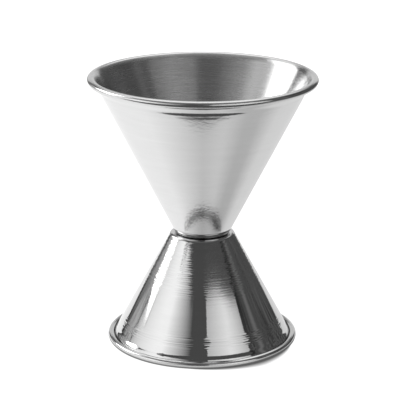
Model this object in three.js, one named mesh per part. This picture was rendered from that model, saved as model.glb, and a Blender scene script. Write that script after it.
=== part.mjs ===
// Double-ended bar jigger: two formed sheet-metal cups, joined floor to floor by a spot weld.
// Millimetres, +Z up. The jigger stands on the rim of its small cup, whose rest face is z = 0,
// and the axis of both cups is the Z axis.
import * as THREE from "three";

// Driving dimensions of the whole object.
const OVERALL_HEIGHT = 79.0;
const SHEET = 0.7; // thickness of the stainless sheet that both cups are drawn from
const FLOOR_GAP = 0.1; // thickness of the fused metal that holds the two floors apart
const WELD_RADIUS = 2.5;
const SEGMENTS = 64; // facets around the axis

// Driving dimensions of each cup, measured as if it stood on its floor with its mouth up.
// Both heights run from the outer face of the floor to the rest face on the rim.
const SMALL_CUP = {
  height: 32.35,
  rimRadius: 27.85,
  wallAngle: 28.45,
  floorCorner: 1.0,
  flareRadius: 3.0,
  flareTurn: 8,
};
const LARGE_CUP = {
  height: OVERALL_HEIGHT - SMALL_CUP.height - FLOOR_GAP,
  rimRadius: 33.05,
  wallAngle: 27.1,
  floorCorner: 0.85,
  flareRadius: 4.0,
  flareTurn: 18,
};

// The rim of each cup is curled outwards into a bead, with a narrow flat land at its highest line.
const BEAD_RADIUS = 1.0;
const RIM_LAND = 0.25;
const CURL_TURN = 285; // how far the sheet turns in the curl, before its cut edge
const CURL_STEPS = 13;
const CORNER_STEPS = 4;
const FLARE_STEPS = 3;

const toRadians = THREE.MathUtils.degToRad;

// Follows the middle of the sheet from the axis outwards, in the (radius, height) plane, and keeps
// the two skins of the sheet, half a thickness to either side of it.
class SheetPath {
  constructor(start) {
    this.point = start.clone();
    this.heading = 0;
    this.left = [];
    this.right = [];
    this.mark();
  }

  direction() {
    return new THREE.Vector2(Math.cos(this.heading), Math.sin(this.heading));
  }

  leftNormal() {
    return new THREE.Vector2(-Math.sin(this.heading), Math.cos(this.heading));
  }

  mark() {
    const offset = this.leftNormal().multiplyScalar(SHEET / 2);
    this.left.push(this.point.clone().add(offset));
    this.right.push(this.point.clone().sub(offset));
  }

  straight(length) {
    this.point.addScaledVector(this.direction(), length);
    this.mark();
  }

  // Turns by an angle in radians, positive to the left, on a circle through the sheet's middle.
  bend(angle, radius, steps) {
    const side = Math.sign(angle);
    const centre = this.point.clone().addScaledVector(this.leftNormal(), side * radius);
    for (let step = 0; step < steps; step++) {
      this.heading += angle / steps;
      this.point.copy(centre).addScaledVector(this.leftNormal(), -side * radius);
      this.mark();
    }
  }

  // The closed outline, anticlockwise: out along the outer skin and back along the inner skin.
  outline() {
    return [...this.right, ...this.left.reverse()];
  }
}

// Follows one cup's sheet, for a given length of flat floor and of straight wall.
function followCup(cup, floorLength, wallLength) {
  const wallTurn = toRadians(90 - cup.wallAngle);
  const flareTurn = toRadians(cup.flareTurn);
  const curlRadius = BEAD_RADIUS - SHEET / 2;
  const turnToLand = wallTurn - flareTurn;
  const turnAfterLand = toRadians(CURL_TURN) - turnToLand;
  const stepsToLand = Math.round((CURL_STEPS * turnToLand) / toRadians(CURL_TURN));
  const path = new SheetPath(new THREE.Vector2(0, SHEET / 2));
  path.straight(floorLength);
  path.bend(wallTurn, cup.floorCorner - SHEET / 2, CORNER_STEPS);
  path.straight(wallLength);
  path.bend(-flareTurn, cup.flareRadius + SHEET / 2, FLARE_STEPS);
  path.bend(-turnToLand, curlRadius, stepsToLand);
  const landHeight = path.point.y + SHEET / 2;
  path.straight(RIM_LAND);
  const beadRadius = path.point.x + BEAD_RADIUS;
  path.bend(-turnAfterLand, curlRadius, CURL_STEPS - stepsToLand);
  return { path, landHeight, beadRadius };
}

// Finds the floor and wall lengths that put the rim at the cup's height and radius.
function cupOutline(cup) {
  const wallAngle = toRadians(cup.wallAngle);
  const bare = followCup(cup, 0, 0);
  const wallLength = (cup.height - bare.landHeight) / Math.cos(wallAngle);
  const floorLength = cup.rimRadius - bare.beadRadius - wallLength * Math.sin(wallAngle);
  return followCup(cup, floorLength, wallLength).path.outline();
}

// Turns a closed outline around the Z axis. Both ends of the outline lie on the axis.
function turnedSolid(outline) {
  return new THREE.LatheGeometry(outline, SEGMENTS).rotateX(Math.PI / 2);
}

function cupMesh(name, cup, material) {
  const mesh = new THREE.Mesh(turnedSolid(cupOutline(cup)), material);
  mesh.name = name;
  return mesh;
}

// The upper cup stands on its floor, mouth up.
function makeLargeCup() {
  const satinSteel = new THREE.MeshStandardMaterial({
    color: 0xc9cacb,
    roughness: 0.32,
    metalness: 1.0,
  });
  const cup = cupMesh("large_cup", LARGE_CUP, satinSteel);
  cup.position.z = SMALL_CUP.height + FLOOR_GAP;
  return cup;
}

// The lower cup is upside down, so that its floor faces up and its mouth rests on the table.
function makeSmallCup() {
  const polishedSteel = new THREE.MeshStandardMaterial({
    color: 0xbfc0c2,
    roughness: 0.18,
    metalness: 1.0,
  });
  const cup = cupMesh("small_cup", SMALL_CUP, polishedSteel);
  cup.rotation.x = Math.PI;
  cup.position.z = SMALL_CUP.height;
  return cup;
}

// The fused disc between the two floors.
function makeSpotWeld() {
  const fusedSteel = new THREE.MeshStandardMaterial({
    color: 0x8f9092,
    roughness: 0.5,
    metalness: 1.0,
  });
  const bottom = SMALL_CUP.height;
  const top = bottom + FLOOR_GAP;
  const outline = [
    new THREE.Vector2(0, bottom),
    new THREE.Vector2(WELD_RADIUS, bottom),
    new THREE.Vector2(WELD_RADIUS, top),
    new THREE.Vector2(0, top),
  ];
  const weld = new THREE.Mesh(turnedSolid(outline), fusedSteel);
  weld.name = "spot_weld";
  return weld;
}

const jigger = new THREE.Group();
jigger.add(makeLargeCup(), makeSmallCup(), makeSpotWeld());

export default jigger;
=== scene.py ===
"""A double bar jigger: two spun steel cups, joined floor to floor, on a white studio table."""

import math

import bpy
import numpy as np
from mathutils import Matrix, Vector


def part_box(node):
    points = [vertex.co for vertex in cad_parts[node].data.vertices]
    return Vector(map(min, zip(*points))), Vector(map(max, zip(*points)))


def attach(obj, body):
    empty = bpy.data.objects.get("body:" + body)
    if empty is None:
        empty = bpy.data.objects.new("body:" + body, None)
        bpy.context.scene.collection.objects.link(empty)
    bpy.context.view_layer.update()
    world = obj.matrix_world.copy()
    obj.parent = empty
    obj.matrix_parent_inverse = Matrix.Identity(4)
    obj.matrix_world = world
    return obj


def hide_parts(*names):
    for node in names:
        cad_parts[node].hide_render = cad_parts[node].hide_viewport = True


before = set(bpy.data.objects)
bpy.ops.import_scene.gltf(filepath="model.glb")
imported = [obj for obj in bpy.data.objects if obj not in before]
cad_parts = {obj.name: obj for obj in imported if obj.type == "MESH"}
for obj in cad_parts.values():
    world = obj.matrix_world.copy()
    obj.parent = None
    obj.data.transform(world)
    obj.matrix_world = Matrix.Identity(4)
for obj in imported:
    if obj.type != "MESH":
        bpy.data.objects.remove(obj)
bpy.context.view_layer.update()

# Lengths are in metres, and angles are in degrees unless a comment says otherwise.
MM = 0.001
LARGE_LOW, LARGE_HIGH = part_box("large_cup")
SMALL_LOW, SMALL_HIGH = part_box("small_cup")
WELD_LOW, WELD_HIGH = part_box("spot_weld")

# The sheet and the way its rim is curled, the same on both cups.
SHEET = 0.7 * MM
BEAD_RADIUS = 1.0 * MM
RIM_LAND = 0.25 * MM
CURL_TURN = 285

# Each cup as if it stood on its floor, mouth up. The wall angle is measured from the axis.
LARGE = {
    "height": LARGE_HIGH.z - LARGE_LOW.z,
    "rim_radius": (LARGE_HIGH.x - LARGE_LOW.x) / 2,
    "wall_angle": 27.1,
    "floor_corner": 0.85 * MM,
    "flare_radius": 4.0 * MM,
    "flare_turn": 18,
}
SMALL = {
    "height": SMALL_HIGH.z - SMALL_LOW.z,
    "rim_radius": (SMALL_HIGH.x - SMALL_LOW.x) / 2,
    "wall_angle": 28.45,
    "floor_corner": 1.0 * MM,
    "flare_radius": 3.0 * MM,
    "flare_turn": 8,
}

# How finely the pieces are built, and the angle from which an edge is shaded sharp.
SEGMENTS = 160
WALL_STEP = 0.22 * MM
FLOOR_STEP = 2 * WALL_STEP
BEND_STEP = 6
WELD_EDGE_STEP = 15
SHARP_ANGLE = 35

# The shallow waves that the spinning roller leaves: pitch, share of the depth, and phase in radians.
ROLLER_WAVES = (
    (0.76 * MM, 1.0, 0.0),
    (1.13 * MM, 0.7, 1.1),
    (2.9 * MM, 0.6, 2.6),
)

# Places on the outer face by how far they are from the end of the wall, as shares of the reach.
FIRST_STEP_ENDS = (1.0, 0.79)
NECK_ENDS = (0.72, 0.51)
SWELL_RISES = (0.51, 0.19)
SWELL_STOPS = (0.17, 0.0)
FIRST_STEP_DEPTH = 0.25

# Most of a noise lies between these two levels.
NOISE_LOW, NOISE_HIGH = 0.3, 0.7

# Turning marks: how fast they change round the axis, and in each millimetre of radius and height.
FINE_MARKS = (2.5, 3.0)
BROAD_MARKS = (1.2, 0.35)
CHATTER_MARKS = (1.2, 0.9)
FINE_SHARE = 0.6
BROAD_SHARE = 0.4
TONE_SPREAD = 0.03
ROUGHNESS_SPREAD = 0.15

# The sideways chatter on the small cup: all of its upper part, and one narrow band near the bead.
CHATTER_PITCH = 0.56 * MM
CHATTER_WANDER = 14.0
CHATTER_BEGINS = 16 * MM
CHATTER_FULL = 20 * MM
CHATTER_ELSEWHERE = 0.08
CHATTER_LEAST = 0.4
BAND_HEIGHT = 6.3 * MM
BAND_FULL = 1.0 * MM
BAND_ENDS = 1.8 * MM

# Strength of the room's own light, and of the darkest part of a streaked lamp.
ROOM_LIGHT = 0.09
DARK_SLAT = 0.03

# The steel sees the table end at these places, and its light changes between each two.
TABLE_FRONT = (-0.0625, -0.054)
TABLE_RIGHT = (0.16, 0.24)
TABLE_BACK = (0.38, 0.48)

# The table's paint, its paint beyond those ends, and the least glow that the steel sees on it.
TABLE_PAINT = 0.25
TABLE_PAINT_BEYOND = 0.05
TABLE_GLOW_BEYOND = 0.06

# Painted light on the table by azimuth, which the steel sees as a glow: one slope, and the steps added
# to it. The dip at front right, deepest from 58 to 76 degrees, is a painted shadow of the jigger.
# Each runs from the first azimuth to the second, and from the third number to the fourth.
LIGHT_POOL_SLOPE = (-75.0, 0.0, 0.98, 0.60)
LIGHT_POOL_STEPS = (
    (-180.0, -110.0, -0.10, 0.0),
    (0.0, 24.0, 0.0, 0.06),
    (32.0, 58.0, 0.0, -0.18),
    (76.0, 105.0, 0.0, 0.23),
    (120.0, 160.0, 0.0, -0.07),
    (160.0, 180.0, 0.0, 0.16),
)

# A painted contact shadow: the dark ring that the steel sees where the bead meets the table, a little
# wider than it is deep.
CONTACT_SHADE_CENTRE = 0.7 * MM
CONTACT_SHADE_SQUEEZE = 0.945
CONTACT_SHADE_INNER = 27.6 * MM
CONTACT_SHADE_OUTER = 28.9 * MM
CONTACT_SHADE_LEVEL = 0.18

# The contact shadow that the camera sees: it starts under the bead and is longest at front right.
SHADOW_START = 27.0 * MM
SHADOW_LONG = 3.3 * MM
SHADOW_GROWS = (-8.0, 34.0, 0.4 * MM, SHADOW_LONG)
SHADOW_SHRINKS = (38.0, 76.0, SHADOW_LONG, 0.1 * MM)
SHADOW_CURVE = 1.5
SHADOW_LEVEL = 0.03

# The camera, fitted to the outline of the jigger. Lens and sensor are in millimetres, the shift is
# a share of the sensor, and the roll is in radians.
CAMERA_LENS = 161.6
CAMERA_SENSOR = 36
CAMERA_SHIFT = -0.00605
CAMERA_PLACE = (0, -0.50064, 0.19279)
CAMERA_DIP = 16.78
CAMERA_ROLL = 0.0035


class SheetPath:
    """A walk along the middle of the sheet, in radius and height, from the axis outwards.

    It marks a point on each face of the sheet at every step."""

    def __init__(self, relief):
        self.point = np.array([0.0, SHEET / 2])
        self.heading = 0.0
        self.relief = relief
        self.wall_left = 0.0
        self.outer, self.inner, self.zones = [], [], []
        self.zone = "floor"
        self.mark()

    def direction(self):
        return np.array([math.cos(self.heading), math.sin(self.heading)])

    def left(self):
        return np.array([-math.sin(self.heading), math.cos(self.heading)])

    def mark(self):
        ripple, pressed = self.relief(self.wall_left) if self.zone == "wall" else (0.0, 0.0)
        self.outer.append(self.point + self.left() * (ripple + pressed - SHEET / 2))
        self.inner.append(self.point + self.left() * (ripple + SHEET / 2))
        self.zones.append(self.zone)

    def straight(self, distance, step):
        count = max(1, math.ceil(distance / step))
        for _ in range(count):
            self.point = self.point + self.direction() * distance / count
            self.wall_left -= distance / count
            self.mark()

    def bend(self, turn, radius):
        """Turns left for a positive angle, with the middle of the sheet at this radius."""
        count = max(2, math.ceil(abs(turn) / BEND_STEP))
        part = math.radians(turn) / count
        chord = 2 * radius * math.sin(abs(part) / 2)
        for _ in range(count):
            self.heading += part / 2
            self.point = self.point + self.direction() * chord
            self.heading += part / 2
            self.mark()


def follow_cup(cup, floor_length, wall_length, relief):
    """Walks one cup from the middle of its floor to the cut edge inside its curl."""
    path = SheetPath(relief)
    path.straight(floor_length, FLOOR_STEP)
    path.bend(90 - cup["wall_angle"], cup["floor_corner"] - SHEET / 2)
    path.zone = "wall"
    path.wall_left = wall_length
    path.straight(wall_length, WALL_STEP)
    path.zone = "flare"
    path.bend(-cup["flare_turn"], cup["flare_radius"] + SHEET / 2)
    path.zone = "rim"
    turn_to_land = 90 - cup["wall_angle"] - cup["flare_turn"]
    path.bend(-turn_to_land, BEAD_RADIUS - SHEET / 2)
    land_height = path.point[1] + SHEET / 2
    path.straight(RIM_LAND, RIM_LAND / 2)
    bead_radius = path.point[0] + BEAD_RADIUS
    path.bend(turn_to_land + cup["flare_turn"] - CURL_TURN, BEAD_RADIUS - SHEET / 2)
    return path, land_height, bead_radius


def cup_path(cup, relief):
    """Gives the floor and the wall the lengths that bring the rim to its height and radius."""
    _, land_height, bead_radius = follow_cup(cup, 0, 0, relief)
    lean = math.radians(cup["wall_angle"])
    wall_length = (cup["height"] - land_height) / math.cos(lean)
    floor_length = cup["rim_radius"] - bead_radius - wall_length * math.sin(lean)
    return follow_cup(cup, floor_length, wall_length, relief)[0]


def smooth(value, start, end):
    """Goes smoothly from 0 at start to 1 at end, whichever of the two is larger."""
    share = min(max((value - start) / (end - start), 0.0), 1.0)
    return share * share * (3 - 2 * share)


def wall_relief(ripple_depth, neck_depth, swell_height, reach):
    """Gives two offsets towards the inside of the cup, by the distance left to the end of the wall.

    The first is the roller's waves, which move both faces of the sheet. The second moves only the
    outer face, over the last part of the wall: the curling roller presses a neck into it in two
    steps, then raises a small swell next to the bead."""

    def relief(distance):
        ripple = ripple_depth * sum(
            size * math.sin(2 * math.pi * distance / pitch + phase)
            for pitch, size, phase in ROLLER_WAVES
        )
        share = distance / reach
        first_step = FIRST_STEP_DEPTH * neck_depth * smooth(share, *FIRST_STEP_ENDS)
        neck = neck_depth * smooth(share, *NECK_ENDS)
        rise = (1 + FIRST_STEP_DEPTH) * neck_depth + swell_height
        swell = rise * smooth(share, *SWELL_RISES)
        back = swell_height * smooth(share, *SWELL_STOPS)
        return ripple, first_step + neck - swell + back

    return relief


def revolve(name, outline, zones, materials):
    """Turns an outline that starts and ends on the axis into one closed body."""
    rings = outline[1:-1]
    angles = np.arange(SEGMENTS) * 2 * math.pi / SEGMENTS
    vertices = [(0, 0, outline[0][1]), (0, 0, outline[-1][1])]
    for radius, height in rings:
        vertices += [(radius * math.cos(a), radius * math.sin(a), height) for a in angles]
    faces, slots = [], []
    for here in range(SEGMENTS):
        after = (here + 1) % SEGMENTS
        faces.append((0, 2 + after, 2 + here))
        slots.append(zones[0])
        for ring in range(len(rings) - 1):
            low = 2 + ring * SEGMENTS
            high = low + SEGMENTS
            faces.append((low + here, low + after, high + after, high + here))
            slots.append(zones[ring + 1])
        last = 2 + (len(rings) - 1) * SEGMENTS
        faces.append((1, last + here, last + after))
        slots.append(zones[-1])
    mesh = bpy.data.meshes.new(name)
    mesh.from_pydata(vertices, [], faces)
    order = list(materials)
    for zone in order:
        mesh.materials.append(materials[zone])
    mesh.polygons.foreach_set("material_index", [order.index(zone) for zone in slots])
    mesh.shade_smooth()
    mesh.set_sharp_from_angle(angle=math.radians(SHARP_ANGLE))
    mesh.update()
    piece = bpy.data.objects.new(name, mesh)
    bpy.context.scene.collection.objects.link(piece)
    return piece


def stand_for(piece, node):
    """Puts a piece on the only body, in place of one CAD node."""
    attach(piece, "root")
    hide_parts(node)


def make_cup(name, node, cup, relief, materials, placing):
    """Builds one cup standing on its floor, then puts it where the frame has it."""
    path = cup_path(cup, relief)
    outside = ["rim" if zone == "rim" else "outside" for zone in path.zones]
    inside = ["rim" if zone == "rim" else "inside" for zone in path.zones]
    outline = path.outer + path.inner[::-1]
    piece = revolve(name, outline, outside + inside[::-1], materials)
    piece.data.transform(placing)
    stand_for(piece, node)


class NodeTree:
    """Short names for wiring the nodes of a material or of the world."""

    def __init__(self, tree):
        self.tree = tree
        tree.nodes.clear()

    def node(self, kind, **settings):
        made = self.tree.nodes.new(kind)
        for key, value in settings.items():
            setattr(made, key, value)
        return made

    def link(self, source, target):
        self.tree.links.new(source, target)

    def math(self, operation, *inputs):
        made = self.node("ShaderNodeMath", operation=operation)
        for slot, value in enumerate(inputs):
            if isinstance(value, (int, float)):
                made.inputs[slot].default_value = value
            else:
                self.link(value, made.inputs[slot])
        return made.outputs[0]

    def product(self, first, *others):
        for other in others:
            first = self.math("MULTIPLY", first, other)
        return first

    def length(self, x, y):
        squares = self.math("ADD", self.product(x, x), self.product(y, y))
        return self.math("SQRT", squares)

    def split(self, vector):
        made = self.node("ShaderNodeSeparateXYZ")
        self.link(vector, made.inputs[0])
        return made.outputs

    def grey(self, level):
        made = self.node("ShaderNodeCombineColor")
        for channel in made.inputs:
            self.link(level, channel)
        return made.outputs[0]

    def remap(self, value, low, high, to_low, to_high):
        made = self.node("ShaderNodeMapRange", clamp=True)
        self.link(value, made.inputs["Value"])
        made.inputs["From Min"].default_value = low
        made.inputs["From Max"].default_value = high
        made.inputs["To Min"].default_value = to_low
        made.inputs["To Max"].default_value = to_high
        return made.outputs["Result"]

    def noise(self, vector, detail, roughness=0.5):
        made = self.node("ShaderNodeTexNoise", noise_dimensions="3D")
        made.inputs["Scale"].default_value = 1.0
        made.inputs["Detail"].default_value = detail
        made.inputs["Roughness"].default_value = roughness
        self.link(vector, made.inputs["Vector"])
        return made.outputs["Fac"]

    def bump(self, height, depth, normal):
        made = self.node("ShaderNodeBump")
        made.inputs["Strength"].default_value = 1.0
        made.inputs["Distance"].default_value = depth
        self.link(height, made.inputs["Height"])
        self.link(normal, made.inputs["Normal"])
        return made.outputs[0]

    def tangent(self):
        return self.node("ShaderNodeTangent", direction_type="RADIAL", axis="Z").outputs[0]

    def surface(self, shader, kind="ShaderNodeOutputMaterial"):
        self.link(shader, self.node(kind).inputs[0])


def new_material(name):
    material = bpy.data.materials.new(name)
    material.use_nodes = True
    return material, NodeTree(material.node_tree)


def turned_coordinates(tree, around, across, flipped):
    """Coordinates that run round the axis and along the wall, each at its own rate."""
    x, y, z = tree.split(tree.node("ShaderNodeTexCoord").outputs["Object"])
    radius = tree.length(x, y)
    along = tree.math("SUBTRACT" if flipped else "ADD", radius, z)
    safe_radius = tree.math("MAXIMUM", radius, 0.1 * MM)
    made = tree.node("ShaderNodeCombineXYZ")
    tree.link(tree.product(tree.math("DIVIDE", x, safe_radius), around), made.inputs[0])
    tree.link(tree.product(tree.math("DIVIDE", y, safe_radius), around), made.inputs[1])
    tree.link(tree.product(along, across / MM), made.inputs[2])
    return made.outputs[0]


def tilted_sideways(tree, normal, amount, flipped):
    """Rocks the normal round the axis by a little, with one swing in each pitch of the chatter."""
    z = tree.split(tree.node("ShaderNodeTexCoord").outputs["Object"])[2]
    marks = tree.noise(turned_coordinates(tree, *CHATTER_MARKS, flipped), 2.0)
    turns = tree.product(z, 2 * math.pi / CHATTER_PITCH)
    wave = tree.math("SINE", tree.math("ADD", turns, tree.product(marks, CHATTER_WANDER)))
    upper = tree.remap(z, CHATTER_BEGINS, CHATTER_FULL, CHATTER_ELSEWHERE, 1.0)
    off_band = tree.math("ABSOLUTE", tree.math("SUBTRACT", z, BAND_HEIGHT))
    band = tree.remap(off_band, BAND_FULL, BAND_ENDS, 1.0, CHATTER_ELSEWHERE)
    uneven = tree.remap(marks, NOISE_LOW, NOISE_HIGH, CHATTER_LEAST, 1.0)
    depth = tree.product(tree.math("MAXIMUM", upper, band), uneven)
    sideways = tree.node("ShaderNodeVectorMath", operation="SCALE")
    tree.link(tree.tangent(), sideways.inputs[0])
    tree.link(tree.product(wave, depth, amount), sideways.inputs["Scale"])
    leaning = tree.node("ShaderNodeVectorMath", operation="ADD")
    tree.link(normal, leaning.inputs[0])
    tree.link(sideways.outputs[0], leaning.inputs[1])
    unit = tree.node("ShaderNodeVectorMath", operation="NORMALIZE")
    tree.link(leaning.outputs[0], unit.inputs[0])
    return unit.outputs[0]


def turned_steel(
    name, tone, roughness, anisotropy, line_depth, flipped=False, side_tilt=0.0, dents=None
):
    """Steel with turning marks round the axis, which stretch highlights along the wall.

    The marks may rock a little sideways. Dents are given as how fast they change round the axis
    and along the wall, and how deep they are."""
    material, tree = new_material(name)
    fine = tree.noise(turned_coordinates(tree, *FINE_MARKS, flipped), 3.0, 0.7)
    broad = tree.noise(turned_coordinates(tree, *BROAD_MARKS, flipped), 2.0)
    marks = tree.math("ADD", tree.product(fine, FINE_SHARE), tree.product(broad, BROAD_SHARE))
    darkest, lightest = tone * (1 - TONE_SPREAD), tone * (1 + TONE_SPREAD)
    smoothest, roughest = roughness * (1 - ROUGHNESS_SPREAD), roughness * (1 + ROUGHNESS_SPREAD)
    shader = tree.node("ShaderNodeBsdfPrincipled")
    shader.inputs["Metallic"].default_value = 1.0
    shader.inputs["Anisotropic"].default_value = anisotropy
    shader.inputs["Anisotropic Rotation"].default_value = 0.25
    tree.link(tree.tangent(), shader.inputs["Tangent"])
    shade = tree.remap(marks, NOISE_LOW, NOISE_HIGH, darkest, lightest)
    tree.link(tree.grey(shade), shader.inputs["Base Color"])
    grain = tree.remap(fine, NOISE_LOW, NOISE_HIGH, smoothest, roughest)
    tree.link(grain, shader.inputs["Roughness"])
    normal = tree.node("ShaderNodeNewGeometry").outputs["Normal"]
    if side_tilt:
        normal = tilted_sideways(tree, normal, side_tilt, flipped)
    if dents:
        around, across, depth = dents
        hollows = tree.noise(turned_coordinates(tree, around, across, flipped), 1.0)
        normal = tree.bump(hollows, depth, normal)
    tree.link(tree.bump(fine, line_depth, normal), shader.inputs["Normal"])
    tree.surface(shader.outputs[0])
    return material


def make_large_cup():
    """The upper cup: satin outside, brushed inside, mouth up."""
    materials = {
        "outside": turned_steel(
            "large_cup_satin", 0.68, 0.10, 0.4, 0.0015 * MM, dents=(18.0, 0.8, 0.017 * MM)
        ),
        "inside": turned_steel("large_cup_brushed", 0.60, 0.25, 0.88, 0.004 * MM),
        "rim": turned_steel("large_cup_rim", 0.66, 0.20, 0.2, 0.002 * MM),
    }
    relief = wall_relief(0.00020 * MM, 0.085 * MM, 0.08 * MM, 4.7 * MM)
    placing = Matrix.Translation((0, 0, LARGE_LOW.z))
    make_cup("large_cup_spun", "large_cup", LARGE, relief, materials, placing)


def make_small_cup():
    """The lower cup: polished outside, and upside down, so that its mouth rests on the table."""
    materials = {
        "outside": turned_steel(
            "small_cup_polished", 0.64, 0.05, 0.5, 0.001 * MM,
            flipped=True, side_tilt=0.055, dents=(60.0, 2.2, 0.0016 * MM),
        ),
        "inside": turned_steel("small_cup_brushed", 0.62, 0.30, 0.8, 0.006 * MM, flipped=True),
        "rim": turned_steel("small_cup_rim", 0.66, 0.14, 0.2, 0.002 * MM, flipped=True),
    }
    relief = wall_relief(0.00028 * MM, 0.02 * MM, 0.05 * MM, 4.3 * MM)
    placing = Matrix.Translation((0, 0, SMALL_HIGH.z)) @ Matrix.Rotation(math.pi, 4, "X")
    make_cup("small_cup_spun", "small_cup", SMALL, relief, materials, placing)


def make_weld():
    """The fused spot between the two floors, a thin disc with a rounded edge."""
    low, high = WELD_LOW.z, WELD_HIGH.z
    edge = (high - low) / 2
    radius = (WELD_HIGH.x - WELD_LOW.x) / 2 - edge
    outline = [np.array([0.0, low])]
    for turn in np.radians(np.arange(-90, 91, WELD_EDGE_STEP)):
        across = radius + edge * math.cos(turn)
        outline.append(np.array([across, (low + high) / 2 + edge * math.sin(turn)]))
    outline.append(np.array([0.0, high]))
    steel = turned_steel("weld_grey_steel", 0.32, 0.5, 0.0, 0.002 * MM)
    piece = revolve("spot_weld_fused", outline, ["outside"] * len(outline), {"outside": steel})
    stand_for(piece, "spot_weld")


def table_glow_for_steel(tree, x, y, azimuth, seen):
    """The painted light that the steel sees on the table: a pool by azimuth, with a painted contact
    shadow round the bead.
    """
    light_pool = tree.remap(azimuth, *LIGHT_POOL_SLOPE)
    for step in LIGHT_POOL_STEPS:
        light_pool = tree.math("ADD", light_pool, tree.remap(azimuth, *step))
    # The ring is a painted contact shadow, darkest next to the bead.
    wide = tree.product(tree.math("SUBTRACT", x, CONTACT_SHADE_CENTRE), CONTACT_SHADE_SQUEEZE)
    ring = tree.remap(tree.length(wide, y), CONTACT_SHADE_INNER, CONTACT_SHADE_OUTER, CONTACT_SHADE_LEVEL, 1.0)
    return tree.math("MAXIMUM", tree.product(light_pool, seen, ring), TABLE_GLOW_BEYOND)


def table_glow_for_camera(tree, x, y, azimuth):
    """The light that the camera sees on the table: white, apart from the contact shadow."""
    grows = tree.remap(azimuth, *SHADOW_GROWS)
    shrinks = tree.remap(azimuth, *SHADOW_SHRINKS)
    reach = tree.math("MINIMUM", grows, shrinks)
    beyond = tree.math("DIVIDE", tree.math("SUBTRACT", tree.length(x, y), SHADOW_START), reach)
    lit = tree.math("POWER", tree.remap(beyond, 0.0, 1.0, 0.0, 1.0), SHADOW_CURVE)
    return tree.remap(lit, 0.0, 1.0, SHADOW_LEVEL, 1.0)


def make_table():
    """A table that fills the camera's view with white. The steel sees it end on three sides."""
    bpy.ops.mesh.primitive_plane_add(size=8)
    table = bpy.context.object
    table.name = "table"
    material, tree = new_material("white_table")
    x, y, _ = tree.split(tree.node("ShaderNodeNewGeometry").outputs["Position"])
    azimuth = tree.math("DEGREES", tree.math("ARCTAN2", x, tree.product(y, -1.0)))
    front = tree.remap(y, *TABLE_FRONT, 0.0, 1.0)
    right = tree.remap(x, *TABLE_RIGHT, 1.0, 0.0)
    back = tree.remap(y, *TABLE_BACK, 1.0, 0.0)
    seen = tree.product(front, back, right)
    camera_ray = tree.node("ShaderNodeLightPath").outputs["Is Camera Ray"]
    painted = tree.math("MAXIMUM", seen, camera_ray)
    diffuse = tree.node("ShaderNodeBsdfDiffuse")
    paint = tree.remap(painted, 0.0, 1.0, TABLE_PAINT_BEYOND, TABLE_PAINT)
    tree.link(tree.grey(paint), diffuse.inputs["Color"])
    # The table glows: painted light and painted shadow for the steel, and white with a painted contact
    # shadow for the camera.
    glow = tree.node("ShaderNodeMix", data_type="FLOAT")
    tree.link(camera_ray, glow.inputs[0])
    tree.link(table_glow_for_steel(tree, x, y, azimuth, seen), glow.inputs[2])
    tree.link(table_glow_for_camera(tree, x, y, azimuth), glow.inputs[3])
    lift = tree.node("ShaderNodeEmission")
    tree.link(glow.outputs[0], lift.inputs["Strength"])
    both = tree.node("ShaderNodeAddShader")
    tree.link(diffuse.outputs[0], both.inputs[0])
    tree.link(lift.outputs[0], both.inputs[1])
    tree.surface(both.outputs[0])
    table.data.materials.append(material)


def compass(azimuth):
    """The level direction at this azimuth: 0 is the camera's side, and positive is to its right."""
    return Vector((math.sin(math.radians(azimuth)), -math.cos(math.radians(azimuth)), 0))


def glow_material(name, strength, feather, edge_glow=(0.0, 0.0), sag=0.0, streaks=0):
    """A lamp cloth that fades towards its left, right, bottom and top edges.

    The feather gives each fade as a share of the width or height, and the edge glow is what is left
    at the two sides. The middle of the top edge hangs lower by the sag, as a share of the height.
    Streaks are upright, and their number sets how fine they are."""
    material, tree = new_material(name)
    x, y, _ = tree.split(tree.node("ShaderNodeTexCoord").outputs["Object"])
    left, right, bottom, top = feather
    from_left = tree.remap(x, -0.5, -0.5 + left, edge_glow[0], 1.0)
    from_right = tree.remap(x, 0.5 - right, 0.5, 1.0, edge_glow[1])
    hang = tree.math("SUBTRACT", sag, tree.product(x, x, 4 * sag))
    from_bottom = tree.remap(y, -0.5, -0.5 + bottom, 0.0, 1.0)
    from_top = tree.remap(tree.math("ADD", y, hang), 0.5 - top, 0.5, 1.0, 0.0)
    sides = tree.math("MINIMUM", from_left, from_right)
    ends = tree.math("MINIMUM", from_bottom, from_top)
    level = tree.product(sides, ends, strength)
    if streaks:
        slats = tree.node("ShaderNodeCombineXYZ")
        tree.link(tree.product(x, streaks), slats.inputs[0])
        tree.link(tree.product(y, streaks / 5), slats.inputs[1])
        streaked = tree.noise(slats.outputs[0], 5.0, 0.7)
        level = tree.product(level, tree.remap(streaked, 0.38, 0.62, 0.1, 1.1))
    least = DARK_SLAT if streaks else ROOM_LIGHT
    glow = tree.node("ShaderNodeEmission")
    tree.link(tree.math("MAXIMUM", level, least), glow.inputs["Strength"])
    tree.surface(glow.outputs[0])
    return material


def lamp_panel(name, turn, place, width, height, material):
    """A glowing rectangle that the steel sees and the camera doesn't."""
    bpy.ops.mesh.primitive_plane_add(size=1)
    panel = bpy.context.object
    panel.name = name
    panel.matrix_world = Matrix.Translation(place) @ turn @ Matrix.Diagonal((width, height, 1, 1))
    panel.visible_camera = False
    panel.data.materials.append(material)


def standing_softbox(name, facing, distance, span, heights, strength, feather, **cloth):
    """An upright panel, square to one azimuth, that fills a span of azimuths as seen from the axis."""
    left, right = (distance * math.tan(math.radians(azimuth - facing)) for azimuth in span)
    along = compass(facing + 90)
    place = compass(facing) * distance + along * (left + right) / 2
    place.z = sum(heights) / 2
    turn = Matrix((along, (0, 0, 1), -compass(facing))).transposed().to_4x4()
    material = glow_material(name + "_cloth", strength, feather, **cloth)
    lamp_panel(name, turn, place, right - left, heights[1] - heights[0], material)


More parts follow.
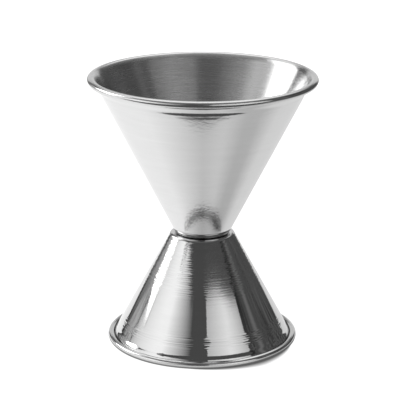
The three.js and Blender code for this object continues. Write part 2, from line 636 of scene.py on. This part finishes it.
def hanging_softbox(name, azimuth, elevation, distance, width, height, strength, feather):
    """A panel overhead that faces the jigger."""
    lift = math.radians(elevation)
    away = compass(azimuth) * math.cos(lift) + Vector((0, 0, math.sin(lift)))
    turn = away.to_track_quat("Z", "Y").to_matrix().to_4x4()
    material = glow_material(name + "_cloth", strength, feather)
    lamp_panel(name, turn, away * distance, width, height, material)


def make_left_lamps():
    """A key light with a dark flag at its top edge, a haze, a bright strip, and a streaked wall."""
    standing_softbox(
        "left_key", -38, 0.7, (-112, -17), (0.0, 0.55), 1.35, (0.75, 0.188, 0.05, 0.01),
        edge_glow=(0.35, 0.08),
    )
    standing_softbox(
        "left_flag", -34, 0.6, (-58, -20), (0.447, 0.6), 0.0, (0.1, 0.1, 0.1, 0.1),
    )
    standing_softbox(
        "left_haze", -72, 0.7, (-100, -50), (0.47, 0.95), 0.5, (0.3, 0.4, 0.02, 0.4),
    )
    standing_softbox(
        "left_strip", -60, 0.5, (-130, -94), (0.205, 0.9), 4.0, (0.1, 0.1, 0.001, 0.3),
        edge_glow=(0.1, 0.12),
    )
    standing_softbox(
        "left_wall", -130, 0.8, (-146, -109), (0.0, 0.2), 0.8, (0.2, 0.1, 0.6, 0.001),
        edge_glow=(0.5, 0.65), streaks=16,
    )


def make_right_lamps():
    """A fill light whose top edge sags, and a dim streaked blind with a slit of light in it."""
    standing_softbox(
        "right_fill", 22, 0.7, (8, 68), (0.0, 0.55), 1.1, (0.45, 0.5, 0.05, 0.01),
        edge_glow=(0.62, 0.55), sag=0.075,
    )
    standing_softbox(
        "right_blind", 110, 0.8, (69, 150), (0.0, 0.6), 0.155, (0.001, 0.001, 0.001, 0.3),
        streaks=36,
    )
    standing_softbox(
        "right_slit", 87, 0.7, (78, 96), (0.0, 1.0), 0.19, (0.45, 0.45, 0.001, 0.2),
    )


def make_far_lamps():
    """A backdrop, a bright panel overhead behind the jigger, and a dim one in front of it."""
    standing_softbox(
        "backdrop", 180, 1.0, (150, 210), (-0.2, 0.9), 0.75, (0.1, 0.1, 0.2, 0.01),
    )
    hanging_softbox("overhead", 180, 58, 0.8, 1.3, 1.05, 1.35, (0.3, 0.3, 0.35, 0.05))
    hanging_softbox("ceiling", 0, 64, 0.82, 1.6, 0.87, 0.42, (0.3, 0.3, 0.95, 0.01))


def make_world():
    """A dim room that the camera itself sees as plain white."""
    world = bpy.data.worlds.new("studio")
    bpy.context.scene.world = world
    world.use_nodes = True
    tree = NodeTree(world.node_tree)
    mix = tree.node("ShaderNodeMixShader")
    tree.link(tree.node("ShaderNodeLightPath").outputs["Is Camera Ray"], mix.inputs[0])
    for slot, strength in ((1, ROOM_LIGHT), (2, 1.0)):
        background = tree.node("ShaderNodeBackground")
        background.inputs["Color"].default_value = (1, 1, 1, 1)
        background.inputs["Strength"].default_value = strength
        tree.link(background.outputs[0], mix.inputs[slot])
    tree.surface(mix.outputs[0], kind="ShaderNodeOutputWorld")


def make_camera():
    """A long lens half a metre in front of the jigger, looking down at it."""
    data = bpy.data.cameras.new("camera")
    data.lens = CAMERA_LENS
    data.sensor_width = CAMERA_SENSOR
    data.shift_x = CAMERA_SHIFT
    camera = bpy.data.objects.new("camera", data)
    bpy.context.scene.collection.objects.link(camera)
    pitch = math.radians(90 - CAMERA_DIP)
    turn = Matrix.Rotation(pitch, 4, "X") @ Matrix.Rotation(CAMERA_ROLL, 4, "Z")
    camera.matrix_world = Matrix.Translation(CAMERA_PLACE) @ turn
    bpy.context.scene.camera = camera


make_large_cup()
make_small_cup()
make_weld()

make_table()
make_world()
make_left_lamps()
make_right_lamps()
make_far_lamps()
make_camera()

bpy.context.scene.view_settings.view_transform = "Standard"
